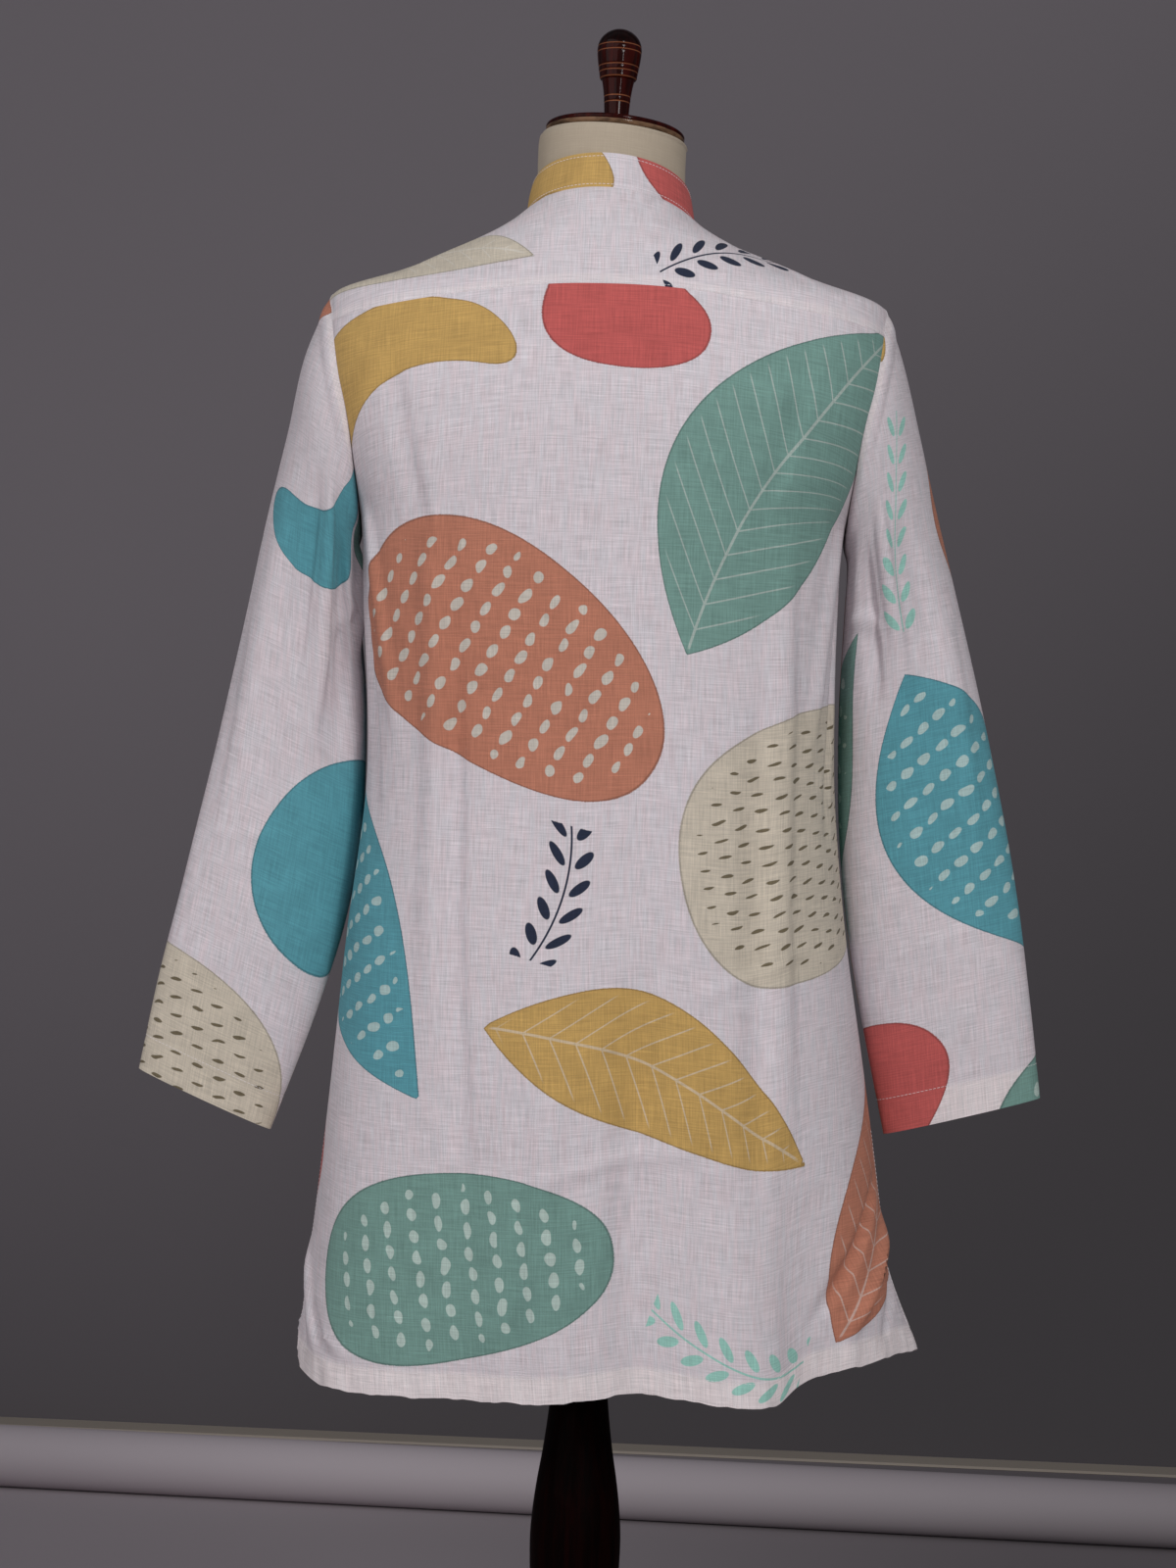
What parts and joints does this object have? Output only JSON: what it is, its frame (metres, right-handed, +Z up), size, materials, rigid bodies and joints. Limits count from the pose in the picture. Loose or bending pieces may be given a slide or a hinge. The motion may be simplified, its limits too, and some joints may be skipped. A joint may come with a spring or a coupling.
{
  "type": "kurta on a dress form",
  "caption": "Long-sleeved linen kurta with a stand-up collar and side slits, worn by a limbless dress form on a turned wooden stand.",
  "frame": {"origin": "centre of the underside of the stand's round base", "axes": "+Z up, the garment's back faces +Y and its front -Y, the wearer's left is +X"},
  "size_m": [0.705, 0.36, 1.6053],
  "materials": {
    "linen": "open plain-weave linen, printed",
    "button": "soft gloss",
    "form_cover": "plain beige cover cloth",
    "wood": "dark red-brown gloss varnish"
  },
  "bodies": {
    "root": {"back": "linen", "front": "linen", "yoke": "linen", "sleeve_left": "linen", "sleeve_right": "linen", "collar": "linen", "placket": "linen", "button_1": "button", "button_2": "button", "button_3": "button", "button_4": "button", "form_torso": "form_cover", "neck_cap": "wood", "finial": "wood", "stand_column": "wood", "stand_base": "wood"}
  },
  "joints": []
}
